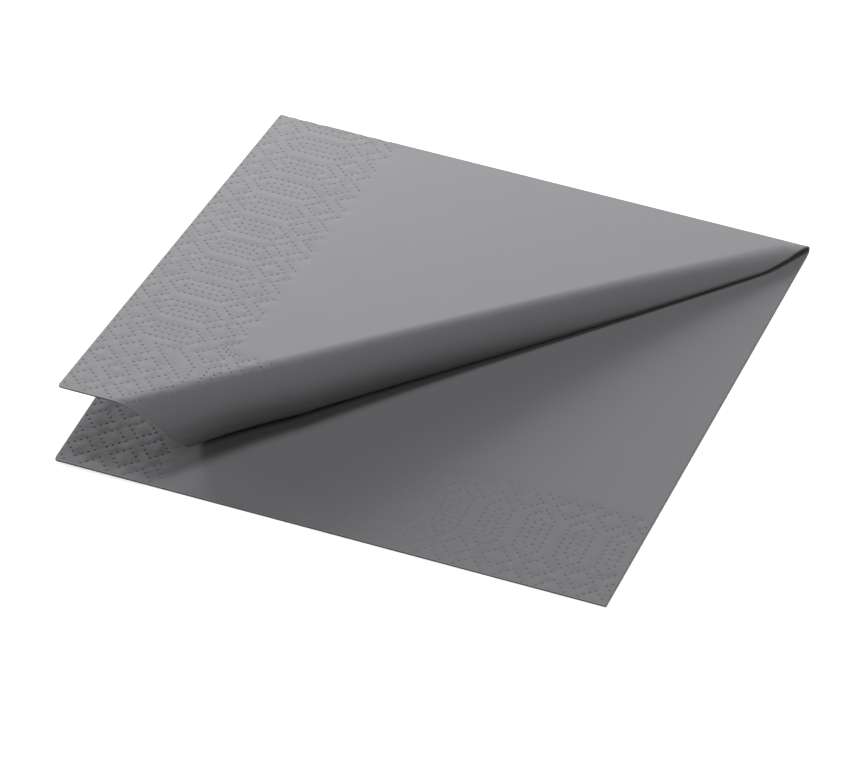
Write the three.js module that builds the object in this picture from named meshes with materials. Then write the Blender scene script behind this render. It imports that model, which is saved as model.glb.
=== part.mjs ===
import * as THREE from 'three';

// A square paper napkin, folded twice and lying on a table, with its upper leaf
// lifted and rolled softly under along the diagonal.
// Lengths are in millimetres and angles in degrees. X runs along the front edge
// from left to right, Y runs towards the back fold and Z points up.

// The folded square. The front and left edges are cut edges, and the right edge
// and the back edge are folds.
const squareSide = 165;
const leafThickness = 1.0;
const sideFoldBulge = 0.4;

// The back fold is soft: the two leaves stand a little apart there.
const backFoldHeight = 2.75;
const backFoldSteps = 10;

// The upper leaf rises from the back fold as a flat plane. Its left edge leans
// a little to the right, because the folds were not made perfectly square.
const flapRise = 8.29;
const flapLean = 0.4;

// The space that the rolled leaf keeps above the lower leaf.
const restingGap = 0.3;

// The roll runs along the diagonal, from the right end of the back fold to the
// lifted corner. Each row gives its section at one distance along the diagonal:
// where the bend starts in front of the diagonal, the radius and the turn of
// the upper bend, and the radius of the lower bend.
const rollSections = [
  { along: 0, start: -3.7, upperRadius: 60, upperTurn: 15, lowerRadius: 1.25 },
  { along: 117, start: 2.45, upperRadius: 15.5, upperTurn: 100, lowerRadius: 8.35 },
  { along: 233, start: 12.2, upperRadius: 12.8, upperTurn: 118, lowerRadius: 9.05 },
];
const tightestBend = 1.15;
const startEasing = 8;

// Close to the end of the back fold, the right edge of the upper leaf is drawn
// in towards the diagonal. This is the share of its width that it keeps.
const drawnInShare = 0.335;
const mostDrawnInShare = 0.205;
const drawnInFrom = 20;
const drawnInTo = 38;
const freeFrom = 40;
const freeTo = 100;

// How finely the roll is divided: along the diagonal, round the upper bend and
// round the lower bend.
const rollStations = 58;
const upperBendSteps = 9;
const lowerBendSteps = 10;
const shortestStep = 0.3;

const paperColour = 0x9c9ca0;
const paperRoughness = 0.92;

const rootTwo = Math.sqrt(2);
const half = squareSide / 2;
const leafWidth = squareSide - sideFoldBulge;
const foldRadius = backFoldHeight / 2;
const foldCentre = new THREE.Vector3(0, half - foldRadius, foldRadius);

const rise = THREE.MathUtils.degToRad(flapRise);
const lean = THREE.MathUtils.degToRad(flapLean);

// Directions in the plane of the lifted leaf: across it to the right, forward
// from the back fold, and square to the plane.
const flapAcross = new THREE.Vector3(1, 0, 0);
const flapForward = new THREE.Vector3(
  Math.sin(lean) * Math.cos(rise),
  -Math.cos(lean) * Math.cos(rise),
  Math.sin(rise),
);
const flapNormal = new THREE.Vector3().crossVectors(flapForward, flapAcross).normalize();

// The plane touches the round of the back fold along this line.
const hingeTouch = foldCentre.clone().addScaledVector(flapNormal, foldRadius);
const arcUsed = half - hingeTouch.y;
const hingeLeft = new THREE.Vector3(-half, half, hingeTouch.z - arcUsed * Math.tan(rise));
const hingeRight = hingeLeft.clone().addScaledVector(flapAcross, leafWidth);

// Along the diagonal towards the lifted corner, and across it to the front.
const alongDiagonal = flapForward.clone().sub(flapAcross).divideScalar(rootTwo);
const acrossDiagonal = flapForward.clone().add(flapAcross).divideScalar(rootTwo);

// The turn that brings the rolled leaf level again, facing the back.
const levelTurn = Math.PI + Math.atan2(acrossDiagonal.z, flapNormal.z);

// A smooth curve through the three rows of the section table.
function sectionValue(name, along) {
  const [a, b, c] = rollSections;
  const shareA = ((along - b.along) * (along - c.along))
    / ((a.along - b.along) * (a.along - c.along));
  const shareB = ((along - a.along) * (along - c.along))
    / ((b.along - a.along) * (b.along - c.along));
  const shareC = 1 - shareA - shareB;
  return a[name] * shareA + b[name] * shareB + c[name] * shareC;
}

// Change of height round a bend of radius one, between two turns.
function dropBetween(from, to) {
  const acrossPart = acrossDiagonal.z * (Math.sin(to) - Math.sin(from));
  const normalPart = flapNormal.z * (Math.cos(to) - Math.cos(from));
  return acrossPart + normalPart;
}

// The section of the roll at a distance along the diagonal. The bends shrink
// where the leaf is low, and a straight face is added where it is high.
function rollSection(along) {
  const start = sectionValue('start', along) * Math.min(1, along / startEasing);
  const turn = THREE.MathUtils.degToRad(sectionValue('upperTurn', along));
  const upper = sectionValue('upperRadius', along);
  const lower = sectionValue('lowerRadius', along);
  const startHeight = hingeRight.z + alongDiagonal.z * along + acrossDiagonal.z * start;
  const wanted = leafThickness + restingGap - startHeight;
  const given = upper * dropBetween(0, turn) + lower * dropBetween(turn, levelTurn);
  const slope = acrossDiagonal.z * Math.cos(turn) - flapNormal.z * Math.sin(turn);
  const shrink = Math.min(1, Math.max(0.02, wanted / given));
  return {
    start,
    turn,
    upper: upper * shrink,
    lower: Math.max(lower * shrink, tightestBend),
    face: Math.max(0, (wanted - given) / slope),
  };
}

// A point of the outer surface of the lifted leaf, from its distance along the
// diagonal and its distance across it, measured over the paper.
function flapPoint(along, across) {
  const section = rollSection(along);
  const upperLength = section.upper * section.turn;
  const lowerLength = section.lower * (levelTurn - section.turn);
  let rest = across - section.start;
  let forward = Math.min(across, section.start);
  let up = 0;
  const onUpper = THREE.MathUtils.clamp(rest, 0, upperLength) / section.upper;
  forward += section.upper * Math.sin(onUpper);
  up -= section.upper * (1 - Math.cos(onUpper));
  rest -= upperLength;
  const onFace = THREE.MathUtils.clamp(rest, 0, section.face);
  forward += onFace * Math.cos(section.turn);
  up -= onFace * Math.sin(section.turn);
  rest -= section.face;
  const onLower = section.turn + THREE.MathUtils.clamp(rest, 0, lowerLength) / section.lower;
  forward += section.lower * (Math.sin(onLower) - Math.sin(section.turn));
  up -= section.lower * (Math.cos(section.turn) - Math.cos(onLower));
  rest -= lowerLength;
  const onLevel = Math.max(0, rest);
  forward += onLevel * Math.cos(levelTurn);
  up -= onLevel * Math.sin(levelTurn);
  return hingeRight.clone()
    .addScaledVector(alongDiagonal, along)
    .addScaledVector(acrossDiagonal, forward)
    .addScaledVector(flapNormal, up);
}

// The outward direction of the lifted leaf, from two short steps on it.
function flapOutward(along, across) {
  const step = 0.05;
  const back = flapPoint(along - step, across);
  const ahead = flapPoint(along + step, across);
  const left = flapPoint(along, across - step);
  const right = flapPoint(along, across + step);
  const outward = new THREE.Vector3().crossVectors(ahead.sub(back), right.sub(left));
  return outward.normalize();
}

// The share of its width that the right edge keeps at a distance along the
// diagonal.
function keptShare(along) {
  const drawn = THREE.MathUtils.clamp((along - drawnInFrom) / (drawnInTo - drawnInFrom), 0, 1);
  const least = drawnInShare + (mostDrawnInShare - drawnInShare) * drawn;
  return THREE.MathUtils.lerp(least, 1, THREE.MathUtils.smoothstep(along, freeFrom, freeTo));
}

// How far the leaf reaches across the diagonal: to its right edge near the back
// fold, and to its front edge near the lifted corner.
function reachAcross(along) {
  const toRightEdge = along * keptShare(along);
  const toFrontEdge = squareSide * rootTwo - along;
  return Math.min(toRightEdge, toFrontEdge);
}

// The distance along the diagonal at which the bend leaves the front edge.
function lastBendAlong() {
  let low = squareSide;
  let high = squareSide * rootTwo;
  for (let i = 0; i < 60; i += 1) {
    const middle = (low + high) / 2;
    if (reachAcross(middle) > rollSection(middle).start) {
      low = middle;
    } else {
      high = middle;
    }
  }
  return low;
}

// The sheet is first made as one surface with an outward direction at each
// corner, and then given its thickness.
const sheet = { places: [], outward: [], bulge: [], faces: [] };

function addPlace(place, outward, bulge) {
  sheet.places.push(place);
  sheet.outward.push(outward);
  sheet.bulge.push(bulge);
  return sheet.places.length - 1;
}

function addFace(a, b, c) {
  if (a !== b && b !== c && c !== a) {
    sheet.faces.push([a, b, c]);
  }
}

const rightward = new THREE.Vector3(1, 0, 0);

// The lower leaf and the round of the back fold, as rows from the front edge of
// the lower leaf to the line where the lifted leaf begins.
function addLowerLeafAndFold(lastLeft, lastRight) {
  const rows = [];
  const down = new THREE.Vector3(0, 0, -1);
  rows.push({ y: -half, z: 0, outward: down });
  const endTurn = Math.PI - rise;
  for (let i = 0; i < backFoldSteps; i += 1) {
    const turn = (endTurn * i) / backFoldSteps;
    const outward = new THREE.Vector3(0, Math.sin(turn), -Math.cos(turn));
    rows.push({
      y: foldCentre.y + foldRadius * outward.y,
      z: foldCentre.z + foldRadius * outward.z,
      outward,
    });
  }
  let left = null;
  let right = null;
  for (const row of rows) {
    const nextLeft = addPlace(new THREE.Vector3(-half, row.y, row.z), row.outward, null);
    const nextRight = addPlace(
      new THREE.Vector3(-half + leafWidth, row.y, row.z), row.outward, rightward);
    if (left !== null) {
      addFace(left, nextLeft, nextRight);
      addFace(left, nextRight, right);
    }
    left = nextLeft;
    right = nextRight;
  }
  addFace(left, lastLeft, lastRight);
  addFace(left, lastRight, right);
}

// The rolled part, as a row of corners for each station along the diagonal. A
// row stops at the edge of the paper.
function addRoll(first, lastAlong) {
  const rows = [new Array(upperBendSteps + lowerBendSteps + 2).fill(first)];
  for (let i = 1; i <= rollStations; i += 1) {
    const share = i / rollStations;
    const eased = share - Math.sin(2 * Math.PI * share) * 0.1;
    const along = lastAlong * eased;
    const section = rollSection(along);
    const edge = Math.max(reachAcross(along), section.start);
    const upperLength = section.upper * section.turn;
    const lowerLength = section.face + section.lower * (levelTurn - section.turn);
    const stops = [];
    for (let j = 0; j <= upperBendSteps; j += 1) {
      stops.push(section.start + (upperLength * j) / upperBendSteps);
    }
    for (let j = 1; j <= lowerBendSteps; j += 1) {
      stops.push(section.start + upperLength + (lowerLength * j) / lowerBendSteps);
    }
    stops.push(edge);
    const onRightEdge = along < squareSide / rootTwo;
    let edgePlace = null;
    const row = [];
    for (let j = 0; j < stops.length; j += 1) {
      const atEdge = stops[j] > edge - shortestStep || j === stops.length - 1;
      if (atEdge && edgePlace !== null) {
        row.push(edgePlace);
      } else {
        const across = atEdge ? edge : stops[j];
        const outward = j === 0 ? flapNormal.clone() : flapOutward(along, across);
        const place = flapPoint(along, across);
        let bulge = null;
        if (atEdge && onRightEdge) {
          const beyond = flapPoint(along, across + 0.05);
          const before = flapPoint(along, across - 0.05);
          bulge = beyond.sub(before).normalize();
        }
        const index = addPlace(place, outward, bulge);
        row.push(index);
        if (atEdge) {
          edgePlace = index;
        }
      }
    }
    rows.push(row);
  }
  for (let i = 0; i < rows.length - 1; i += 1) {
    for (let j = 0; j < rows[i].length - 1; j += 1) {
      addFace(rows[i][j], rows[i + 1][j + 1], rows[i][j + 1]);
      addFace(rows[i][j], rows[i + 1][j], rows[i + 1][j + 1]);
    }
  }
  return rows.map((row) => row[0]);
}

// The flat part of the lifted leaf, as a fan from the left end of the back fold.
function addFlatFlap(backLeft, bendLine, liftedCorner) {
  for (let i = 0; i < bendLine.length - 1; i += 1) {
    addFace(backLeft, bendLine[i + 1], bendLine[i]);
  }
  addFace(backLeft, liftedCorner, bendLine[bendLine.length - 1]);
}

function buildSheet() {
  const touchLeft = hingeLeft.clone().addScaledVector(flapForward, arcUsed);
  const backLeft = addPlace(touchLeft, flapNormal.clone(), null);
  const backRight = addPlace(
    hingeRight.clone().addScaledVector(flapForward, arcUsed), flapNormal.clone(), rightward);
  addLowerLeafAndFold(backLeft, backRight);
  const bendLine = addRoll(backRight, lastBendAlong());
  const liftedCorner = addPlace(
    hingeLeft.clone().addScaledVector(flapForward, squareSide), flapNormal.clone(), null);
  addFlatFlap(backLeft, bendLine, liftedCorner);
}

// Gives the sheet its thickness. The inner side is set square in from the outer
// side, and the edge between them is straight where the paper is cut and
// rounded where it is folded.
function thicken(thickness) {
  const corners = [];
  const triangles = [];
  const inner = [];
  for (const place of sheet.places) {
    corners.push(place);
  }
  sheet.places.forEach((place, i) => {
    inner.push(corners.length);
    corners.push(place.clone().addScaledVector(sheet.outward[i], -thickness));
  });
  const middle = sheet.places.map((place, i) => {
    if (sheet.bulge[i] === null) {
      return null;
    }
    const centre = place.clone().addScaledVector(sheet.outward[i], -thickness / 2);
    corners.push(centre.addScaledVector(sheet.bulge[i], sideFoldBulge));
    return corners.length - 1;
  });
  const used = new Set();
  for (const [a, b, c] of sheet.faces) {
    triangles.push(a, b, c);
    triangles.push(inner[a], inner[c], inner[b]);
    used.add(`${a} ${b}`);
    used.add(`${b} ${c}`);
    used.add(`${c} ${a}`);
  }
  for (const pair of used) {
    const [a, b] = pair.split(' ').map(Number);
    if (!used.has(`${b} ${a}`)) {
      const loop = [b, a];
      if (middle[a] !== null) {
        loop.push(middle[a]);
      }
      loop.push(inner[a], inner[b]);
      if (middle[b] !== null) {
        loop.push(middle[b]);
      }
      if (loop.length === 6) {
        triangles.push(loop[0], loop[1], loop[2], loop[0], loop[2], loop[5]);
        triangles.push(loop[5], loop[2], loop[3], loop[5], loop[3], loop[4]);
      } else {
        for (let i = 1; i < loop.length - 1; i += 1) {
          triangles.push(loop[0], loop[i], loop[i + 1]);
        }
      }
    }
  }
  const geometry = new THREE.BufferGeometry();
  const numbers = corners.flatMap((corner) => [corner.x, corner.y, corner.z]);
  geometry.setAttribute('position', new THREE.Float32BufferAttribute(numbers, 3));
  geometry.setIndex(triangles);
  geometry.computeVertexNormals();
  return geometry;
}

buildSheet();

const paper = new THREE.MeshStandardMaterial({
  color: paperColour,
  roughness: paperRoughness,
  metalness: 0,
});

const napkin = new THREE.Mesh(thicken(leafThickness), paper);
napkin.name = 'napkin';

const part = new THREE.Group();
part.name = 'folded_napkin';
part.add(napkin);

export default part;
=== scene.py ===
"""A folded paper napkin: one square sheet of soft tissue, folded twice.

The sheet lies on a pale table top as a folded square. Its front and left edges are cut edges, its
right and back edges are folds, and its upper leaf is lifted and rolled softly under along the
diagonal. A dotted border of diamonds and hexagons is pressed into the paper along the cut edges.

The whole sheet is one closed mesh of four layers, two in each leaf, with the rounds of both folds.
Lengths are in metres and angles in degrees. X runs along the front edge from left to right, Y runs
towards the back fold and Z points up.

A flat place is a distance from the left cut edge and a run, which goes from the front edge of the
lower leaf, round the back fold, to the front edge of the lifted leaf. A roll place is a distance
along the diagonal of the lifted leaf and one across it, over the paper. A body place is X, Y and Z.
"""

import logging
import math
from dataclasses import dataclass, field
from enum import Enum

import bpy
import numpy as np
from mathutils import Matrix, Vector
from mathutils.geometry import delaunay_2d_cdt
from mathutils.kdtree import KDTree


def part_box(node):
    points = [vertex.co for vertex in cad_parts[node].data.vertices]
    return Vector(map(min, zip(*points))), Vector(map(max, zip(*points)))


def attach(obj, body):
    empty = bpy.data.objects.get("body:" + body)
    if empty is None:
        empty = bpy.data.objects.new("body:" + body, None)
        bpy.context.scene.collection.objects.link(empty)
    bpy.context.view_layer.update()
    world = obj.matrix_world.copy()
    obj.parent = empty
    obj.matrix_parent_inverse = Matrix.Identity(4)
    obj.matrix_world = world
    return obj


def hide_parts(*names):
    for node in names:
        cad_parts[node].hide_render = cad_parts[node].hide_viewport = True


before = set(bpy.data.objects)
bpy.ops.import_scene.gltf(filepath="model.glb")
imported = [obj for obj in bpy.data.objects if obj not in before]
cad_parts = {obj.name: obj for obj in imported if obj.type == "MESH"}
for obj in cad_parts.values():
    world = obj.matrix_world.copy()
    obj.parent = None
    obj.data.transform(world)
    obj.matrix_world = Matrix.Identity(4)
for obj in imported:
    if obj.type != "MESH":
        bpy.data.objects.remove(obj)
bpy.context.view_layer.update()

log = logging.getLogger("napkin")

Array = np.ndarray
Pair = tuple[float, float]
Colour = tuple[float, float, float]

MM = 0.001
TINY = 1e-9
SAME_PLACE = 1e-6
ROOT_TWO = math.sqrt(2.0)
RIGHTWARD = np.array([1.0, 0.0, 0.0])
WHITE = (1.0, 1.0, 1.0, 1.0)
FLAT_MAP = "OFBake"
MARKS = "flat_place"


class Face(Enum):
    """The four faces of the paper in one leaf, counted inward from the outer side."""

    OUTER = 0
    OUTER_HIDDEN = 1
    INNER_HIDDEN = 2
    INNER = 3


class Finish(Enum):
    """The two finishes on the sheet, with their places in its list of materials."""

    SURFACE = 0
    CUT_EDGE = 1


@dataclass(frozen=True)
class SheetSize:
    """Driving sizes of the folded sheet.

    Args:
        side: Side of the folded square.
    """

    side: float
    layer: float = 0.21 * MM
    layer_gap: float = 0.06 * MM
    side_fold_bulge: float = 0.4 * MM
    back_fold_height: float = 2.75 * MM
    flap_rise: float = 8.29
    flap_lean: float = 0.4
    resting_height: float = 1.2 * MM
    corner_radius: float = 0.9 * MM

    @property
    def leaf(self) -> float:
        """Thickness of a leaf, which is two layers pressed together."""
        return 2.0 * self.layer + self.layer_gap

    @property
    def half(self) -> float:
        """Half the side of the folded square."""
        return self.side / 2.0

    @property
    def width(self) -> float:
        """Width of a leaf, from its left cut edge to where the side fold begins."""
        return self.side - self.side_fold_bulge

    @property
    def fold_radius(self) -> float:
        """Outer radius of the back fold."""
        return self.back_fold_height / 2.0

    def depth(self, face: Face) -> float:
        """Depth of a face under the outer side of its leaf, square to the paper."""
        return (0.0, self.layer, self.layer + self.layer_gap, self.leaf)[face.value]


@dataclass(frozen=True)
class RollRow:
    """The section of the roll at one distance along the diagonal."""

    along: float
    start: float
    upper_radius: float
    upper_turn: float
    lower_radius: float


@dataclass(frozen=True)
class RollSection:
    """Sections of the roll at many distances along the diagonal, as arrays."""

    start: Array
    turn: Array
    upper: Array
    lower: Array
    face: Array


ROLL_ROWS = (
    RollRow(0.0, -3.7 * MM, 60.0 * MM, 15.0, 1.25 * MM),
    RollRow(117.0 * MM, 2.45 * MM, 15.5 * MM, 100.0, 8.35 * MM),
    RollRow(233.0 * MM, 12.2 * MM, 12.8 * MM, 118.0, 9.05 * MM),
)


def unit(vectors: Array) -> Array:
    """Vectors scaled to length one."""
    return vectors / np.linalg.norm(vectors, axis=-1, keepdims=True)


def smooth_share(value: Array, start: float, end: float) -> Array:
    """A share that rises smoothly from 0 at start to 1 at end.

    Args:
        value: The values to rate.
        start: Where the share is still 0.
        end: Where the share reaches 1.

    Returns:
        One share for each value.
    """
    share = np.clip((value - start) / (end - start), 0.0, 1.0)
    return share * share * (3.0 - 2.0 * share)


@dataclass
class LiftedLeaf:
    """The upper leaf: a plane that rises from the back fold, and a roll along its diagonal."""

    size: SheetSize
    tightest_bend: float = 0.95 * MM
    least_shrink: float = 0.02
    short_step: float = 0.05 * MM
    start_easing: float = 8.0 * MM
    drawn_in_share: float = 0.345
    free_from: float = 12.0 * MM
    free_to: float = 62.0 * MM
    forward: Array = field(init=False)
    normal: Array = field(init=False)
    hinge_right: Array = field(init=False)
    arc_used: float = field(init=False)

    def __post_init__(self) -> None:
        """Works out the leaf's own directions and the right end of the line that it rises from."""
        size = self.size
        rise = math.radians(size.flap_rise)
        lean = math.radians(size.flap_lean)
        self.forward = np.array([
            math.sin(lean) * math.cos(rise),
            -math.cos(lean) * math.cos(rise),
            math.sin(rise),
        ])
        self.normal = unit(np.cross(self.forward, RIGHTWARD))
        touch_y = size.half - size.fold_radius + self.normal[1] * size.fold_radius
        touch_z = size.fold_radius + self.normal[2] * size.fold_radius
        self.arc_used = size.half - touch_y
        hinge_height = touch_z - self.arc_used * math.tan(rise)
        hinge_left = np.array([-size.half, size.half, hinge_height])
        self.hinge_right = hinge_left + RIGHTWARD * size.width

    @property
    def along_way(self) -> Array:
        """Direction along the diagonal, towards the lifted corner."""
        return (self.forward - RIGHTWARD) / ROOT_TWO

    @property
    def across_way(self) -> Array:
        """Direction across the diagonal, towards the front."""
        return (self.forward + RIGHTWARD) / ROOT_TWO

    @property
    def level_turn(self) -> float:
        """The turn that brings the rolled leaf level again, facing the back."""
        return math.pi + math.atan2(self.across_way[2], self.normal[2])

    def row_value(self, name: str, along: Array) -> Array:
        """One column of the section table, on a smooth curve through its three rows.

        Args:
            name: Name of the column.
            along: Distances along the diagonal.

        Returns:
            The column's value at each distance.
        """
        a, b, c = ROLL_ROWS
        share_a = (along - b.along) * (along - c.along) / ((a.along - b.along) * (a.along - c.along))
        share_b = (along - a.along) * (along - c.along) / ((b.along - a.along) * (b.along - c.along))
        share_c = 1.0 - share_a - share_b
        return getattr(a, name) * share_a + getattr(b, name) * share_b + getattr(c, name) * share_c

    def drop_between(self, start: Array, end: Array) -> Array:
        """Change of height round a bend of radius one, between two turns."""
        across_part = self.across_way[2] * (np.sin(end) - np.sin(start))
        return across_part + self.normal[2] * (np.cos(end) - np.cos(start))

    def section(self, along: Array) -> RollSection:
        """The sections of the roll, one for each distance along the diagonal.

        Bends shrink where the leaf is low, and gain a flat face where it is high.

        Args:
            along: Distances along the diagonal.

        Returns:
            The sections, one for each distance.
        """
        size = self.size
        start = self.row_value("start", along) * np.clip(along / self.start_easing, None, 1.0)
        turn = np.radians(self.row_value("upper_turn", along))
        upper = self.row_value("upper_radius", along)
        lower = self.row_value("lower_radius", along)
        start_height = self.hinge_right[2] + self.along_way[2] * along + self.across_way[2] * start
        wanted = size.resting_height - start_height
        given = upper * self.drop_between(0.0, turn) + lower * self.drop_between(turn, self.level_turn)
        slope = self.across_way[2] * np.cos(turn) - self.normal[2] * np.sin(turn)
        shrink = np.clip(wanted / given, self.least_shrink, 1.0)
        return RollSection(
            start=start,
            turn=turn,
            upper=upper * shrink,
            lower=np.maximum(lower * shrink, self.tightest_bend),
            face=np.maximum(0.0, (wanted - given) / slope),
        )

    def place(self, along: Array, across: Array) -> Array:
        """Body places on the outer side of the leaf.

        Args:
            along: Distances along the diagonal.
            across: Distances across it, over the paper.

        Returns:
            One row of X, Y and Z for each place.
        """
        section = self.section(along)
        start, turn, upper, lower = section.start, section.turn, section.upper, section.lower
        rest = across - start
        on_upper = np.clip(rest, 0.0, upper * turn) / upper
        ahead = np.minimum(across, start) + upper * np.sin(on_upper)
        up = -upper * (1.0 - np.cos(on_upper))
        rest = rest - upper * turn
        on_face = np.clip(rest, 0.0, section.face)
        ahead = ahead + on_face * np.cos(turn)
        up = up - on_face * np.sin(turn)
        rest = rest - section.face
        lower_length = lower * (self.level_turn - turn)
        on_lower = turn + np.clip(rest, 0.0, lower_length) / lower
        ahead = ahead + lower * (np.sin(on_lower) - np.sin(turn))
        up = up - lower * (np.cos(turn) - np.cos(on_lower))
        on_level = np.maximum(0.0, rest - lower_length)
        ahead = ahead + on_level * math.cos(self.level_turn)
        up = up - on_level * math.sin(self.level_turn)
        in_plane = self.hinge_right + along[:, None] * self.along_way + ahead[:, None] * self.across_way
        return in_plane + up[:, None] * self.normal

    def round_step(self, along: Array, across: Array) -> Array:
        """Short steps round the roll, at roll places."""
        ahead, behind = (self.place(along, across + way * self.short_step) for way in (1.0, -1.0))
        return ahead - behind

    def outward(self, along: Array, across: Array) -> Array:
        """Outward directions of the leaf at roll places, from short steps on it."""
        ahead, behind = (self.place(along + way * self.short_step, across) for way in (1.0, -1.0))
        return unit(np.cross(ahead - behind, self.round_step(along, across)))

    def kept_share(self, along: Array) -> Array:
        """Share of its width that the right edge keeps, because it is drawn in near the fold."""
        freed = smooth_share(along, self.free_from, self.free_to)
        return self.drawn_in_share + (1.0 - self.drawn_in_share) * freed

    def drawn(self, along: Array, across: Array, back: bool = False) -> Array:
        """Distances across the diagonal, moved as the right edge is drawn in.

        Args:
            along: Distances along the diagonal.
            across: Distances across it on the flat paper, or on the lifted leaf to go back.
            back: Whether to go back to the flat paper.

        Returns:
            The distances across it on the other of the two.
        """
        start = self.section(along).start
        kept = (along * self.kept_share(along) - start) / np.maximum(along - start, TINY)
        beyond = (across - start) / kept if back else (across - start) * kept
        return np.where(across > start, start + beyond, across)


@dataclass
class FoldedForm:
    """The folded sheet as a surface: lower leaf, back fold and lifted leaf in one run."""

    size: SheetSize
    short_step: float = 0.02 * MM
    lifted: LiftedLeaf = field(init=False)

    def __post_init__(self) -> None:
        """Makes the lifted leaf from the same sizes."""
        self.lifted = LiftedLeaf(self.size)

    @property
    def lower_run(self) -> float:
        """Run from the front edge of the lower leaf to where the back fold begins."""
        return self.size.side - self.size.fold_radius

    @property
    def fold_turn(self) -> float:
        """Turn of the back fold, from the lower leaf to the lifted leaf."""
        return math.pi - math.radians(self.size.flap_rise)

    @property
    def lifted_run(self) -> float:
        """Run to where the lifted leaf begins."""
        return self.lower_run + self.size.fold_radius * self.fold_turn

    @property
    def whole_run(self) -> float:
        """Run from one front edge to the other."""
        return self.lifted_run + self.size.side - self.lifted.arc_used

    def roll_place(self, flat: Array) -> tuple[Array, Array]:
        """Roll places of flat places: distances along the diagonal, and across it when drawn in.

        Args:
            flat: Flat places, one in each row.

        Returns:
            Distances along the diagonal, and distances across it on the lifted leaf.
        """
        forward = self.lifted.arc_used + flat[:, 1] - self.lifted_run
        inward = self.size.width - flat[:, 0]
        along = (forward + inward) / ROOT_TWO
        return along, self.lifted.drawn(along, (forward - inward) / ROOT_TWO)

    def past_start(self, flat: Array) -> Array:
        """How far flat places lie past the line where the roll starts, across the diagonal."""
        along, across = self.roll_place(flat)
        return across - self.lifted.section(along).start

    def flat_place(self, along: Array, across: Array) -> Array:
        """Flat places of roll places, as rows of distance from the left edge and run.

        Args:
            along: Distances along the diagonal.
            across: Distances across it, on the lifted leaf.

        Returns:
            Flat places, one in each row.
        """
        flat_across = self.lifted.drawn(along, across, back=True)
        forward = (along + flat_across) / ROOT_TWO
        from_left = self.size.width - (along - flat_across) / ROOT_TWO
        return np.stack([from_left, forward - self.lifted.arc_used + self.lifted_run], axis=1)

    def surface(self, flat: Array) -> tuple[Array, Array]:
        """The outer side of the sheet at flat places, as body places and outward directions.

        Args:
            flat: Flat places, one in each row.

        Returns:
            Body places and outward directions.
        """
        size = self.size
        turn = np.clip((flat[:, 1] - self.lower_run) / size.fold_radius, 0.0, self.fold_turn)
        outward = np.stack([np.zeros_like(turn), np.sin(turn), -np.cos(turn)], axis=1)
        places = np.stack([
            flat[:, 0] - size.half,
            np.minimum(flat[:, 1], self.lower_run) - size.half + size.fold_radius * np.sin(turn),
            size.fold_radius * (1.0 - np.cos(turn)),
        ], axis=1)
        lifted = flat[:, 1] > self.lifted_run - TINY
        roll = self.roll_place(flat[lifted])
        places[lifted] = self.lifted.place(*roll)
        outward[lifted] = self.lifted.outward(*roll)
        return places, outward

    def ways(self, flat: Array) -> list[Array]:
        """Unit body directions to the right and along the run, at flat places."""
        steps = self.short_step * np.eye(2)
        return [unit(self.surface(flat + way)[0] - self.surface(flat - way)[0]) for way in steps]

    def is_lower(self, flat: Array) -> Array:
        """Whether flat places are on the lower leaf."""
        return flat[:, 1] < self.lower_run

    def from_front(self, flat: Array) -> Array:
        """Distances of flat places from the front cut edge of their own leaf."""
        return np.where(self.is_lower(flat), flat[:, 1], self.whole_run - flat[:, 1])

    def from_rim(self, flat: Array) -> Array:
        """Distances of flat places from the nearest edge of the sheet."""
        limits = np.array([self.size.width, self.whole_run])
        return np.minimum(flat, limits - flat).min(axis=1)

    def side_fold_way(self, flat: Array) -> Array:
        """Directions in which the side fold bulges at flat places, square to the right edge.

        Args:
            flat: Flat places, one in each row.

        Returns:
            One unit vector for each place.
        """
        ways = np.tile(RIGHTWARD, (len(flat), 1))
        lifted = flat[:, 1] > self.lifted_run + TINY
        ways[lifted] = unit(self.lifted.round_step(*self.roll_place(flat[lifted])))
        return ways


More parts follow.
